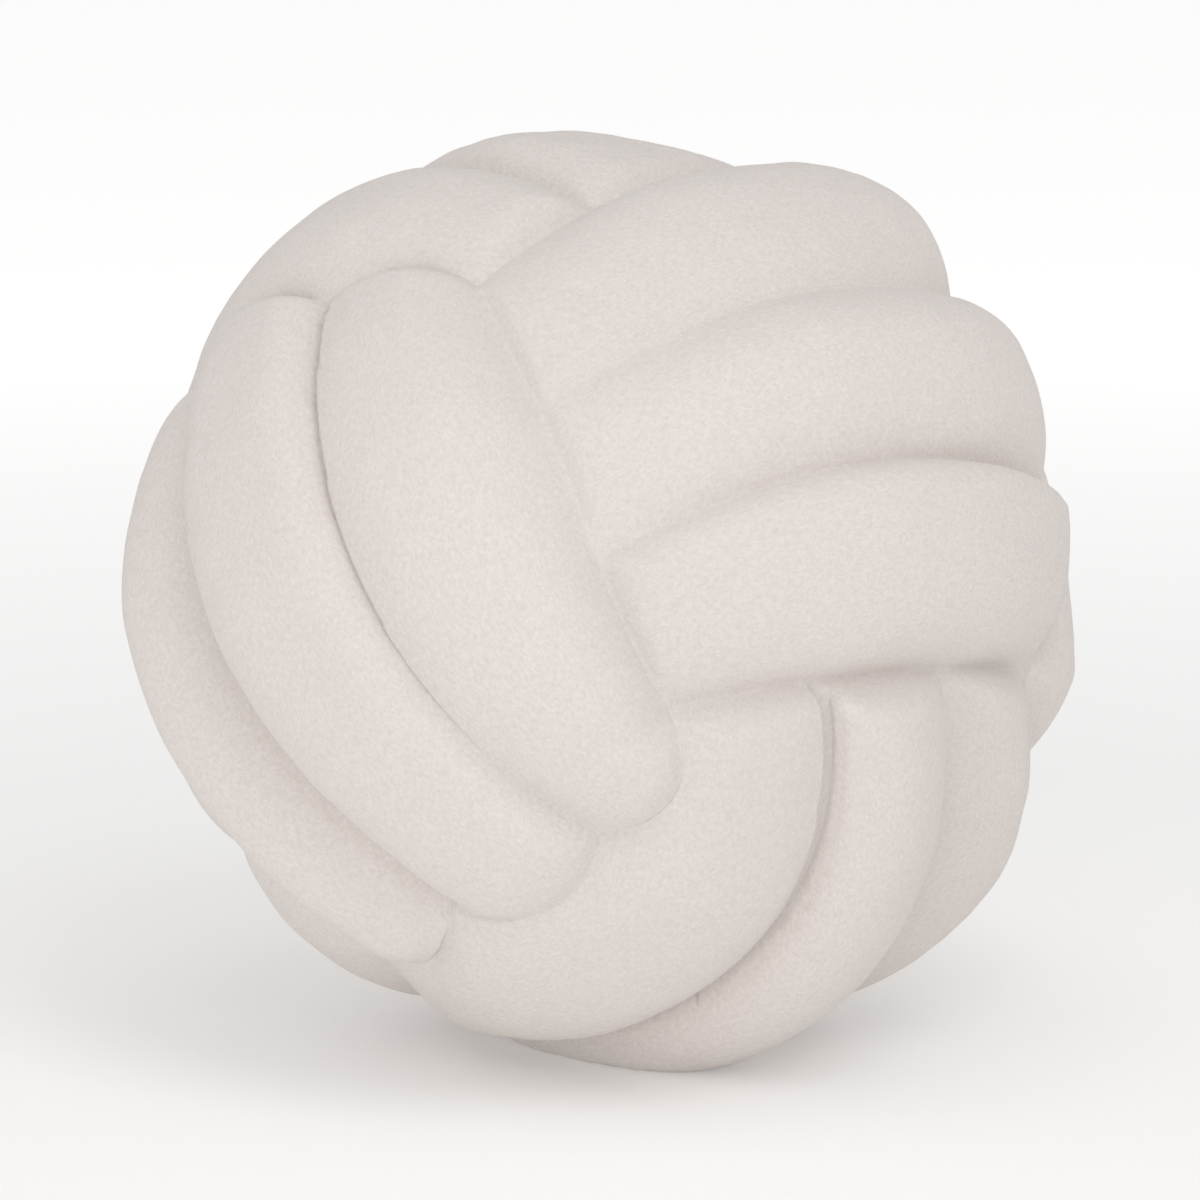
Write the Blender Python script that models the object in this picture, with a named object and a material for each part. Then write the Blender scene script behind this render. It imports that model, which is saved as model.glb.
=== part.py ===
"""Knot cushion: one long stuffed tube of fleece, wound and tucked into a ball.

The tube makes three turns about each of three axes, so the ball shows six faces of three strands
side by side. On every face the outer two strands lie over the ends of the strands next door, and
its own strands dive under the next faces. The solid is the wound form: each strand is a crowned
patch, and the patches meet at the foot of the crevices between them.

A strand's patch is laid out as directions from the ball's centre. Its height there is the ball's
radius, plus the strand's own fullness, less what its rounded flanks fall away towards a crevice.
Table sizes are millimetres, positions in the file are metres.
"""
import math
from typing import NamedTuple

import bmesh
import bpy
import numpy as np
from mathutils import Euler

MM = 0.001

BALL_RADIUS = 150.0        # centre to the crest of an even strand
STRANDS = 3                # side by side on each face
CELLS_ACROSS = 10          # cells across one strand; along it there are three times as many
CROWD_ACROSS = 1.55        # above 1, cells gather at a strand's flanks
CROWD_ALONG = 0.32         # above 0, cells gather at a strand's ends
CORNER_DEPTH = 11.0        # foot of the crevices where three faces meet
SLOT_DEPTH = 9.0           # how much deeper a crevice goes where it stands open
FLANK_BLEND = 3.0          # how two flanks that meet at a corner add up
CREVICE_SAMPLES = 700      # points on a crevice line from which distances are taken
WELD = 0.02                # patch edges closer than this are the same edge

KNOT_TURN = (176.5, -35.6, -40.3)   # degrees about X, Y and Z, from the knot's axes to the world
FLAT_SPOT = 6.5            # how far the ball's lowest crest is pressed in where it rests

COVER_COLOUR = (0.77, 0.71, 0.66, 1.0)
COVER_ROUGHNESS = 0.95


class Face(NamedTuple):
    """Which way a face looks, its strands run and its strands lie side by side (axis 0, 1, 2)."""
    sign: int
    outward: int
    run: int
    side: int
    low_flank: str         # crevice under the flank of its first strand
    high_flank: str        # crevice under the flank of its last strand
    tail: str              # crevice where its strands come up
    head: str              # crevice where its strands go down


class Flank(NamedTuple):
    """Crevice where a face's outer strand lies over the ends of the next face's three strands."""
    start: str             # corner
    end: str               # corner
    splits: tuple          # where the three strand ends part, as shares of its length
    bow: float             # sideways bulge at half length, towards the face's high side
    sway: float            # sideways S-bend
    scallop: float         # how far each strand end presses into the strand on top
    depth: tuple           # its foot below the even ball at start, middle and end
    soft: float            # distance over which its foot is rounded out
    over: tuple            # the strand on top: width that rounds off, and how steeply it ends
    under: tuple           # the strand ends below: the same


class Seam(NamedTuple):
    """Crevice between two strands side by side on one face."""
    bow: float
    sway: float
    gap: tuple             # open width at its start, middle and end
    depth: tuple
    soft: float
    low: tuple             # the strand on its low side: width that rounds off, and steepness
    high: tuple            # the strand on its high side


class Crevice(NamedTuple):
    """A crevice as a strand meets it; every array has a value for each sample of the line."""
    line: np.ndarray       # directions
    depth: np.ndarray      # how deep its rounded flank goes
    half_gap: np.ndarray   # half its open width
    bottom: np.ndarray     # how deep the open slot goes
    soft: float
    width: float
    steepness: float


FACES = {
    "A": Face(+1, 0, 1, 2, "AD", "AC", "EA", "BA"),
    "F": Face(-1, 0, 1, 2, "FD", "FC", "EF", "BF"),
    "B": Face(+1, 1, 2, 0, "BF", "BA", "DB", "CB"),
    "E": Face(-1, 1, 2, 0, "EF", "EA", "DE", "CE"),
    "C": Face(+1, 2, 0, 1, "CE", "CB", "FC", "AC"),
    "D": Face(-1, 2, 0, 1, "DE", "DB", "FD", "AD"),
}

# Where three faces meet: longitude and latitude in degrees, on the knot's own axes.
CORNERS = {
    "ABC": (49, 32),
    "ABD": (48, -30),
    "BCF": (124, 36),
    "BDF": (138, -35),
    "ACE": (-31, 38),
    "ADE": (-42, -42),
    "CEF": (-135, 37),
    "DEF": (-135, -35),
}

# A flank's name is the face on top and the face whose strands end under it.
FLANKS = {
    #           start  end    splits        bow  sway scallop depth      soft over        under
    "BA": Flank("ABD", "ABC", (0.35, 0.69), 18, 1, 0, (9, 10, 10), 2, (28, 0.70), (9, 0.80)),
    "BF": Flank("BDF", "BCF", (0.33, 0.68), -13, 0, 0, (12, 12, 12), 1, (34, 0.90), (36, 0.75)),
    "EA": Flank("ADE", "ACE", (0.29, 0.64), 16, 10, 0, (12, 12, 12), 1, (34, 0.90), (36, 0.75)),
    "EF": Flank("DEF", "CEF", (0.33, 0.68), -11, 0, 0, (12, 12, 12), 1, (34, 0.90), (36, 0.75)),
    "CB": Flank("BCF", "ABC", (0.31, 0.72), 17, 7, 10, (10, 9, 9), 1, (32, 0.80), (20, 0.80)),
    "CE": Flank("CEF", "ACE", (0.33, 0.68), -24, 15, 0, (12, 12, 12), 1, (34, 0.90), (36, 0.75)),
    "DB": Flank("BDF", "ABD", (0.31, 0.68), 15, -7, 5, (6, 9, 9), 1, (36, 0.70), (9, 0.85)),
    "DE": Flank("DEF", "ADE", (0.33, 0.68), -12, 0, 0, (12, 12, 12), 1, (34, 0.90), (36, 0.75)),
    "AC": Flank("ACE", "ABC", (0.36, 0.70), 9, 0, 0, (17, 18, 12), 1, (42, 0.88), (14, 0.75)),
    "AD": Flank("ADE", "ABD", (0.33, 0.74), -16, 3, 0, (10, 15, 10), 1, (32, 0.85), (14, 0.85)),
    "FC": Flank("CEF", "BCF", (0.26, 0.60), 10, 0, 0, (12, 12, 12), 1, (34, 0.90), (36, 0.75)),
    "FD": Flank("DEF", "BDF", (0.33, 0.68), -10, 0, 0, (12, 12, 9), 1, (34, 0.90), (36, 0.75)),
}

# The two seams of each face, from its low side.
SEAMS = {
    #         bow  sway gap     depth       soft low strand  high strand
    "A": (Seam(-3, 3, (0, 0, 0), (7, 9, 8), 2, (42, 0.60), (24, 0.60)),
          Seam(-2, 2, (0, 0, 0), (10, 13, 11), 1, (46, 0.65), (10, 0.90))),
    "B": (Seam(-17, -1, (0, 0, 0), (12, 17, 15), 2, (34, 0.85), (30, 0.85)),
          Seam(-6, 1, (5, 1, 0), (8, 8, 8), 1, (14, 0.90), (50, 0.55))),
    "C": (Seam(-11, 5, (0, 0, 0), (12, 17, 16), 2, (48, 0.60), (38, 0.85)),
          Seam(-6, 5, (5, 7, 6), (9, 10, 8), 1, (22, 0.95), (44, 0.85))),
    "D": (Seam(-5, 0, (0, 0, 0), (10, 10, 8), 1, (30, 0.90), (30, 0.90)),
          Seam(-13, -6, (0, 0, 0), (8, 13, 19), 1, (24, 0.90), (24, 0.90))),
    "E": (Seam(3, 0, (0, 0, 0), (10, 11, 10), 1, (34, 0.90), (34, 0.90)),
          Seam(-2, 0, (0, 0, 0), (10, 11, 10), 1, (34, 0.90), (34, 0.90))),
    "F": (Seam(2, 0, (0, 0, 0), (10, 11, 10), 1, (34, 0.90), (34, 0.90)),
          Seam(-3, 0, (0, 0, 0), (10, 11, 10), 1, (34, 0.90), (34, 0.90))),
}

# How full each strand is over the even ball at its tail, middle and head, from the low side.
FULLNESS = {
    "A": ((9, -2, -6), (2, 2, -6), (-2, 0, -6)),
    "B": ((0, 6, 1), (2, 0, 3), (0, 4, 5)),
    "C": ((0, 5, -8), (-3, 5, -2), (-6, 1, -2)),
    "D": ((0, -3, -10), (0, 2, -11), (1, 2, -5)),
    "E": ((0, 0, 0), (0, 0, 0), (1, 1, 1)),
    "F": ((0, 0, 0), (0, -3, -4), (0, -3, -5)),
}


def unit(vectors):
    """Scale vectors to length 1."""
    vectors = np.asarray(vectors, float)
    return vectors / np.linalg.norm(vectors, axis=-1, keepdims=True)


def corner(name):
    """The direction of a place where three faces meet."""
    longitude, latitude = (math.radians(angle) for angle in CORNERS[name])
    level = math.cos(latitude)
    return np.array([level * math.cos(longitude), level * math.sin(longitude), math.sin(latitude)])


def run_and_side(face, directions):
    """Angles of directions along a face's strands and across them."""
    along = np.arctan2(directions[..., face.run], face.sign * directions[..., face.outward])
    across = np.arcsin(np.clip(directions[..., face.side], -1.0, 1.0))
    return along, across


def direction(face, along, across):
    """The direction at these two angles: the reverse of run_and_side."""
    out = np.zeros(np.shape(along) + (3,))
    out[..., face.outward] = face.sign * np.cos(across) * np.cos(along)
    out[..., face.run] = np.cos(across) * np.sin(along)
    out[..., face.side] = np.sin(across)
    return out


def track(face, start, end, bow, sway, share):
    """A line over a face from one direction to another, bent sideways."""
    along_start, across_start = run_and_side(face, unit(start))
    along_end, across_end = run_and_side(face, unit(end))
    bend = bow * np.sin(math.pi * share) + sway * np.sin(2.0 * math.pi * share)
    along = along_start + (along_end - along_start) * share
    across = across_start + (across_end - across_start) * share + bend / BALL_RADIUS
    return direction(face, along, across)


def through(values, share):
    """The smooth curve through a start, a middle and an end value."""
    start, middle, end = values
    return (start * (1.0 - share) * (1.0 - 2.0 * share) + middle * 4.0 * share * (1.0 - share)
            + end * share * (2.0 * share - 1.0))


def rounding(distance, soft, width, steepness):
    """Part of an ellipse, 0 at its width from a crevice and 1 at its foot, which is rounded out."""
    distance = np.sqrt(np.maximum(distance, 0.0) ** 2 + soft ** 2) - soft
    inward = steepness * (1.0 - np.clip(distance / width, 0.0, 1.0))
    return (1.0 - np.sqrt(1.0 - inward ** 2)) / (1.0 - math.sqrt(1.0 - steepness ** 2))


def taken_over(fall, end_fall, rounded):
    """A strand's fall as its end takes it over, with the end's rounding from 0 to 1."""
    return (np.maximum(fall, 0.0) ** FLANK_BLEND * (1.0 - rounded ** FLANK_BLEND)
            + (np.maximum(end_fall, 0.0) * rounded) ** FLANK_BLEND) ** (1.0 / FLANK_BLEND)


def flank_marks(flank):
    """Shares of a flank's length at its ends and at its two splits."""
    return np.array([0.0, *flank.splits, 1.0])


def flank_track(name, share):
    """The edge of the strand on top, as if no strand end pressed into it."""
    flank = FLANKS[name]
    return track(FACES[name[0]], corner(flank.start), corner(flank.end), flank.bow, flank.sway,
                 share)


def scallops(name, share):
    """How far the strand ends below press into the strand on top."""
    marks = flank_marks(FLANKS[name])
    piece = np.clip(np.searchsorted(marks, share, side="right") - 1, 0, STRANDS - 1)
    within = (share - marks[piece]) / (marks[piece + 1] - marks[piece])
    return FLANKS[name].scallop * np.sin(math.pi * np.clip(within, 0.0, 1.0))


def flank_line(name, share):
    """The foot of a flank's crevice, scalloped around the strand ends that go under it."""
    face = FACES[name[0]]
    inward = 1.0 if name == face.low_flank else -1.0
    along, across = run_and_side(face, flank_track(name, share))
    return direction(face, along, across + inward * scallops(name, share) / BALL_RADIUS)


def flank_depth(name, share):
    """The foot of a flank's crevice: on the rounding of the strand on top, eased into corners."""
    flank, face = FLANKS[name], FACES[name[0]]
    place = 0 if name == face.low_flank else STRANDS - 1
    fullness = through(FULLNESS[name[0]][place], share)
    fall = through(flank.depth, share) + fullness
    fall = fall * rounding(scallops(name, share), flank.soft, *flank.over)
    line = flank_line(name, share)
    for end, meeting in ((face.tail, flank.start), (face.head, flank.end)):
        distance = BALL_RADIUS * np.arccos(np.clip(line @ corner(meeting), -1.0, 1.0))
        rounded = rounding(distance, FLANKS[end].soft, *FLANKS[end].under)
        fall = taken_over(fall, CORNER_DEPTH + fullness, rounded)
    return fall - fullness


def seam_line(name, number, share):
    """The foot of the crevice between strands number - 1 and number of a face."""
    face = FACES[name]
    seam = SEAMS[name][number - 1]
    tail_mark = flank_marks(FLANKS[face.tail])[number]
    head_mark = flank_marks(FLANKS[face.head])[number]
    start = flank_line(face.tail, np.array([tail_mark]))[0]
    end = flank_line(face.head, np.array([head_mark]))[0]
    return track(face, start, end, seam.bow, seam.sway, share)


def nearest_on(line, directions):
    """Distance over the ball to the nearest point of a line, and that point's number."""
    closeness = directions.reshape(-1, 3) @ line.T
    number = np.argmax(closeness, axis=1)
    nearest = np.take_along_axis(closeness, number[:, None], axis=1)[:, 0]
    shape = directions.shape[:-1]
    return BALL_RADIUS * np.arccos(np.clip(nearest, -1.0, 1.0)).reshape(shape), number.reshape(shape)


def seam_depth(name, number, share):
    """The foot of a seam: deeper where it stands open, and taken over by the ends' falls."""
    face, seam = FACES[name], SEAMS[name][number - 1]
    fullness = (through(FULLNESS[name][number - 1], share)
                + through(FULLNESS[name][number], share)) / 2.0
    opened = np.clip(through(seam.gap, share) / 2.0, 0.0, 1.0)
    fall = through(seam.depth, share) + SLOT_DEPTH * opened + fullness
    line = seam_line(name, number, share)
    for end in (face.tail, face.head):
        flank = FLANKS[end]
        distance, _ = nearest_on(flank_line(end, np.linspace(0.0, 1.0, CREVICE_SAMPLES)), line)
        rounded = rounding(distance, flank.soft, *flank.under)
        end_fall = flank_depth(end, flank_marks(flank)[number]) + fullness
        fall = taken_over(fall, end_fall, rounded)
    return fall - fullness


def shares_across(cells):
    """Shares of a strand's width, gathered at both flanks."""
    spread = np.linspace(-1.0, 1.0, cells + 1)
    return (np.sign(spread) * (1.0 - (1.0 - np.abs(spread)) ** CROWD_ACROSS) + 1.0) / 2.0


def shares_along(cells):
    """Shares of a strand's length, gathered at both ends."""
    spread = np.linspace(-1.0, 1.0, STRANDS * cells + 1)
    return (spread * (1.0 + CROWD_ALONG * (1.0 - spread ** 2)) + 1.0) / 2.0


def shares_on_flank(flank, cells):
    """Shares of a flank's length that suit the strand ends under it."""
    marks = flank_marks(flank)
    pieces = [low + (high - low) * shares_across(cells)[:-1] for low, high in zip(marks, marks[1:])]
    return np.append(np.concatenate(pieces), 1.0)


def strand_borders(name, place, cells):
    """The border lines of a strand's patch and their depths: low side, high side, tail, head."""
    face = FACES[name]
    across, along = shares_across(cells), shares_along(cells)
    borders = []
    for flank, number in ((face.low_flank, place), (face.high_flank, place + 1)):
        if number in (0, STRANDS):
            share = shares_on_flank(FLANKS[flank], cells)
            borders.append((flank_line(flank, share), flank_depth(flank, share)))
        else:
            borders.append((seam_line(name, number, along), seam_depth(name, number, along)))
    for end in (face.tail, face.head):
        marks = flank_marks(FLANKS[end])
        share = marks[place] + (marks[place + 1] - marks[place]) * across
        borders.append((flank_line(end, share), flank_depth(end, share)))
    return borders


def patch_directions(name, place, cells):
    """A grid of directions stretched between the four borders (a Coons patch)."""
    low, high, tail, head = (line for line, _ in strand_borders(name, place, cells))
    u = shares_along(cells)[:, None, None]
    v = shares_across(cells)[None, :, None]
    sides = (1.0 - v) * low[:, None] + v * high[:, None]
    ends = (1.0 - u) * tail[None] + u * head[None]
    corners = ((1.0 - u) * ((1.0 - v) * low[0] + v * high[0])
               + u * ((1.0 - v) * low[-1] + v * high[-1]))
    return unit(sides + ends - corners)


def strand_crevices(name, place):
    """The crevices at a strand's two sides and at its two ends."""
    face = FACES[name]
    share = np.linspace(0.0, 1.0, CREVICE_SAMPLES)
    closed = np.zeros(CREVICE_SAMPLES)
    sides, ends = [], []
    for flank, number in ((face.low_flank, place), (face.high_flank, place + 1)):
        if number in (0, STRANDS):
            row = FLANKS[flank]
            sides.append(Crevice(flank_track(flank, share), through(row.depth, share), closed,
                                 closed, row.soft, *row.over))
        else:
            row = SEAMS[name][number - 1]
            half_gap = np.maximum(through(row.gap, share), 0.0) / 2.0
            sides.append(Crevice(seam_line(name, number, share), through(row.depth, share),
                                 half_gap, seam_depth(name, number, share), row.soft,
                                 *(row.high if number == place else row.low)))
    for end in (face.tail, face.head):
        row = FLANKS[end]
        ends.append(Crevice(flank_line(end, share), flank_depth(end, share), closed, closed,
                            row.soft, *row.under))
    return sides, ends


def strand_patch(name, place, cells):
    """Points of one strand, in millimetres on the knot's axes."""
    grid = patch_directions(name, place, cells)
    fullness = through(FULLNESS[name][place], shares_along(cells))[:, None]
    falls, slots = np.zeros(grid.shape[:2]), np.zeros(grid.shape[:2])
    sides, ends = strand_crevices(name, place)
    for crevice in sides:
        distance, number = nearest_on(crevice.line, grid)
        half_gap = crevice.half_gap[number]
        fall = np.maximum(crevice.depth[number] + fullness, 0.0)
        falls += (fall * rounding(distance - half_gap, crevice.soft, crevice.width,
                                  crevice.steepness)) ** FLANK_BLEND
        slots = np.maximum(slots, np.where(distance < half_gap, crevice.bottom[number], 0.0))
    falls = falls ** (1.0 / FLANK_BLEND)
    for crevice in ends:
        distance, number = nearest_on(crevice.line, grid)
        rounded = rounding(distance, crevice.soft, crevice.width, crevice.steepness)
        falls = taken_over(falls, crevice.depth[number] + fullness, rounded)
    radius = BALL_RADIUS + fullness - falls
    points = grid * np.where(slots > 0.0, np.minimum(radius, BALL_RADIUS - slots), radius)[..., None]
    edges = (np.s_[:, 0], np.s_[:, -1], np.s_[0], np.s_[-1])
    for edge, (line, depth) in zip(edges, strand_borders(name, place, cells)):
        points[edge] = line * (BALL_RADIUS - depth)[:, None]
    return points


def knot_surface(cells):
    """Points and faces of all the strands, each patch with its own border points."""
    points, quads, count = [], [], 0
    for name, face in FACES.items():
        for place in range(STRANDS):
            patch = strand_patch(name, place, cells)
            index = count + np.arange(patch[..., 0].size).reshape(patch.shape[:2])
            corners = [index[:-1, :-1], index[1:, :-1], index[1:, 1:], index[:-1, 1:]]
            if face.sign < 0:
                corners.reverse()
            points.append(patch.reshape(-1, 3))
            quads.append(np.stack(corners, axis=-1).reshape(-1, 4))
            count += index.size
    return np.vstack(points), np.vstack(quads)


def set_down(points):
    """Turn the ball as it lies, press its flat spot and put the origin under its middle."""
    turn = Euler([math.radians(angle) for angle in KNOT_TURN]).to_matrix()
    world = points @ np.array(turn).T * MM
    floor = (FLAT_SPOT - BALL_RADIUS) * MM
    world[:, 2] = np.maximum(world[:, 2] - floor, 0.0)
    middle = (world.min(axis=0) + world.max(axis=0)) / 2.0
    world[:, :2] -= middle[:2]
    return world


def cover_material():
    """Warm off-white fleece."""
    material = bpy.data.materials.new("fleece")
    material.use_nodes = True
    shader = material.node_tree.nodes["Principled BSDF"]
    shader.inputs["Base Color"].default_value = COVER_COLOUR
    shader.inputs["Roughness"].default_value = COVER_ROUGHNESS
    shader.inputs["Metallic"].default_value = 0.0
    return material


def knot_cushion():
    """The whole ball as one closed solid."""
    points, quads = knot_surface(CELLS_ACROSS)
    mesh = bpy.data.meshes.new("knot_cushion")
    mesh.from_pydata(set_down(points).tolist(), [], quads.tolist())
    shape = bmesh.new()
    shape.from_mesh(mesh)
    bmesh.ops.remove_doubles(shape, verts=shape.verts, dist=WELD * MM)
    bmesh.ops.triangulate(shape, faces=shape.faces)
    bmesh.ops.recalc_face_normals(shape, faces=shape.faces)
    shape.to_mesh(mesh)
    shape.free()
    mesh.shade_smooth()
    mesh.materials.append(cover_material())
    cushion = bpy.data.objects.new("knot_cushion", mesh)
    bpy.context.scene.collection.objects.link(cushion)
    return cushion


def main():
    """Clear the scene and model the cushion."""
    for item in list(bpy.data.objects):
        bpy.data.objects.remove(item)
    knot_cushion()


main()
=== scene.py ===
"""The looks of the knot cushion: a ball wound from one long stuffed tube of short-pile fleece.

The cover is one closed surface of eighteen strand patches, six faces of three strands. Each patch
is laid out as directions from the ball's centre between the crevices round it, and its height is
the ball's radius, plus the strand's own fullness, less what its rounded flanks fall away. On top of
that come the uneven filling and the brushed pile.
"""
from __future__ import annotations

import logging
import math
from dataclasses import dataclass, field
from enum import Enum
from typing import Mapping, Sequence

import bmesh
import bpy
import numpy as np
from mathutils import Euler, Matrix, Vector


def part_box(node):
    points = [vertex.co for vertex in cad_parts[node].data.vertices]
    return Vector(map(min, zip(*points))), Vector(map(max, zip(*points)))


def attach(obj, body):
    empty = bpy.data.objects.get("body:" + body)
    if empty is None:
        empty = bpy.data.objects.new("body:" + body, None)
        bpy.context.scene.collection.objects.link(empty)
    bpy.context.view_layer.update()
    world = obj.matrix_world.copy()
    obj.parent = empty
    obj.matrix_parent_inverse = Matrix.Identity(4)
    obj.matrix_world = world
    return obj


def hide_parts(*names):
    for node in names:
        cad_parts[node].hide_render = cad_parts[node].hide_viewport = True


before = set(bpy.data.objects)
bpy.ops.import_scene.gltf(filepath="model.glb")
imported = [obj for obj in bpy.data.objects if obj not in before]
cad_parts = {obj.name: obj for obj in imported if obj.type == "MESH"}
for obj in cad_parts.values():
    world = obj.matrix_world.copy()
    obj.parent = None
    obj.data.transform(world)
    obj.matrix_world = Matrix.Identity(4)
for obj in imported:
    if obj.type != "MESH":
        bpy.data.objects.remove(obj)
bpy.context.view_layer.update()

LOG = logging.getLogger("knot_cushion")
MM = 0.001
CUSHION_NODE = "knot_cushion"
NAP_MAP = "nap"
WHITE = (1.0, 1.0, 1.0, 1.0)
Triple = tuple[float, float, float]
Pair = tuple[float, float]


@dataclass(frozen=True)
class Face:
    """One of the knot's six faces, with three strands side by side.

    Attributes:
        sign: on which side of its outward axis the face looks, +1 or -1.
        outward: number of the axis that the face looks along.
        run: number of the axis that its strands run along, from tail to head.
        side: number of the axis that its strands lie side by side on, from low to high.
        low_flank: the flank along its low side.
        high_flank: the flank along its high side.
        tail: the flank that its strands' tails end under.
        head: the flank that their heads end under.
    """
    sign: int
    outward: int
    run: int
    side: int
    low_flank: str
    high_flank: str
    tail: str
    head: str


@dataclass(frozen=True)
class Flank:
    """Crevice where a face's outer strand lies over the ends of the next face's strands.

    Attributes:
        start: the corner where it starts.
        end: the corner where it ends.
        splits: shares of its length at which the strands below part.
        bow: sideways bulge at half length, in millimetres.
        sway: sideways S-bend, in millimetres.
        scallop: how far each strand end below presses into the strand on top, in millimetres.
        depth: depth below the even ball at its start, middle and end, in millimetres.
        soft: distance over which its foot is rounded out, in millimetres.
        over: width in millimetres and steepness of the rounding of the strand on top.
        under: the same for the strands that end below.
    """
    start: str
    end: str
    splits: Pair
    bow: float
    sway: float
    scallop: float
    depth: Triple
    soft: float
    over: Pair
    under: Pair


@dataclass(frozen=True)
class Seam:
    """Crevice between two strands side by side on one face, from the tail flank to the head flank.

    Attributes:
        bow: sideways bulge at half length, towards the high side, in millimetres.
        sway: sideways S-bend, in millimetres.
        gap: how wide it stands open at its start, middle and end, in millimetres.
        depth: depth below the even ball at its start, middle and end, in millimetres.
        soft: distance over which its foot is rounded out, in millimetres.
        low: width in millimetres and steepness of the rounding of the strand on its low side.
        high: the same for the strand on its high side.
    """
    bow: float
    sway: float
    gap: Triple
    depth: Triple
    soft: float
    low: Pair
    high: Pair


@dataclass(frozen=True)
class Crevice:
    """A crevice as one strand meets it; each array has a value for every sample of the line.

    Attributes:
        line: directions along its foot.
        depth: depth below the even ball that the strand's flank falls to, in millimetres.
        half_gap: half the width that it stands open, in millimetres.
        bottom: depth of the floor between two strands that stand apart, in millimetres.
        soft: distance over which its foot is rounded out, in millimetres.
        width: distance at which the strand's flank is level, in millimetres.
        steepness: how upright the flank ends, from 0 to 1.
    """
    line: np.ndarray
    depth: np.ndarray
    half_gap: np.ndarray
    bottom: np.ndarray
    soft: float
    width: float
    steepness: float


FACES = {
    "A": Face(+1, 0, 1, 2, "AD", "AC", "EA", "BA"),
    "F": Face(-1, 0, 1, 2, "FD", "FC", "EF", "BF"),
    "B": Face(+1, 1, 2, 0, "BF", "BA", "DB", "CB"),
    "E": Face(-1, 1, 2, 0, "EF", "EA", "DE", "CE"),
    "C": Face(+1, 2, 0, 1, "CE", "CB", "FC", "AC"),
    "D": Face(-1, 2, 0, 1, "DE", "DB", "FD", "AD"),
}

# Where three faces meet: longitude and latitude in degrees, on the knot's own axes.
CORNERS = {
    "ABC": (49, 32),
    "ABD": (48, -30),
    "BCF": (124, 36),
    "BDF": (138, -35),
    "ACE": (-31, 38),
    "ADE": (-42, -42),
    "CEF": (-135, 37),
    "DEF": (-135, -35),
}

# A flank's name is the face on top and the face whose strands end under it.
FLANKS = {
    #           start  end    splits        bow  sway scallop depth      soft over        under
    "BA": Flank("ABD", "ABC", (0.35, 0.69), 18, 1, 0, (9, 10, 10), 2, (28, 0.70), (9, 0.80)),
    "BF": Flank("BDF", "BCF", (0.33, 0.68), -13, 0, 0, (12, 12, 12), 1, (34, 0.90), (36, 0.75)),
    "EA": Flank("ADE", "ACE", (0.29, 0.64), 16, 10, 0, (12, 12, 12), 1, (34, 0.90), (36, 0.75)),
    "EF": Flank("DEF", "CEF", (0.33, 0.68), -11, 0, 0, (12, 12, 12), 1, (34, 0.90), (36, 0.75)),
    "CB": Flank("BCF", "ABC", (0.31, 0.72), 17, 7, 10, (10, 9, 9), 1, (32, 0.80), (20, 0.80)),
    "CE": Flank("CEF", "ACE", (0.33, 0.68), -24, 15, 0, (12, 12, 12), 1, (34, 0.90), (36, 0.75)),
    "DB": Flank("BDF", "ABD", (0.31, 0.68), 15, -7, 5, (6, 9, 9), 1, (36, 0.70), (9, 0.85)),
    "DE": Flank("DEF", "ADE", (0.33, 0.68), -12, 0, 0, (12, 12, 12), 1, (34, 0.90), (36, 0.75)),
    "AC": Flank("ACE", "ABC", (0.36, 0.70), 9, 0, 0, (17, 18, 12), 1, (42, 0.88), (14, 0.75)),
    "AD": Flank("ADE", "ABD", (0.33, 0.74), -16, 3, 0, (10, 15, 10), 1, (32, 0.85), (14, 0.85)),
    "FC": Flank("CEF", "BCF", (0.26, 0.60), 10, 0, 0, (12, 12, 12), 1, (34, 0.90), (36, 0.75)),
    "FD": Flank("DEF", "BDF", (0.33, 0.68), -10, 0, 0, (12, 12, 9), 1, (34, 0.90), (36, 0.75)),
}

# The two seams of each face, from its low side. The second seam of D is up to 4 mm shallower here
# than in the solid, and so is the floor of the open slots, so that their shade is right.
SEAMS = {
    #         bow  sway gap     depth       soft low strand  high strand
    "A": (Seam(-3, 3, (0, 0, 0), (7, 9, 8), 2, (42, 0.60), (24, 0.60)),
          Seam(-2, 2, (0, 0, 0), (10, 13, 11), 1, (46, 0.65), (10, 0.90))),
    "B": (Seam(-17, -1, (0, 0, 0), (12, 17, 15), 2, (34, 0.85), (30, 0.85)),
          Seam(-6, 1, (5, 1, 0), (8, 8, 8), 1, (14, 0.90), (50, 0.55))),
    "C": (Seam(-11, 5, (0, 0, 0), (12, 17, 16), 2, (48, 0.60), (38, 0.85)),
          Seam(-6, 5, (5, 7, 6), (9, 10, 8), 1, (22, 0.95), (44, 0.85))),
    "D": (Seam(-5, 0, (0, 0, 0), (10, 10, 8), 1, (30, 0.90), (30, 0.90)),
          Seam(-13, -6, (0, 0, 0), (6, 10, 15), 1, (24, 0.90), (24, 0.90))),
    "E": (Seam(3, 0, (0, 0, 0), (10, 11, 10), 1, (34, 0.90), (34, 0.90)),
          Seam(-2, 0, (0, 0, 0), (10, 11, 10), 1, (34, 0.90), (34, 0.90))),
    "F": (Seam(2, 0, (0, 0, 0), (10, 11, 10), 1, (34, 0.90), (34, 0.90)),
          Seam(-3, 0, (0, 0, 0), (10, 11, 10), 1, (34, 0.90), (34, 0.90))),
}

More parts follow.
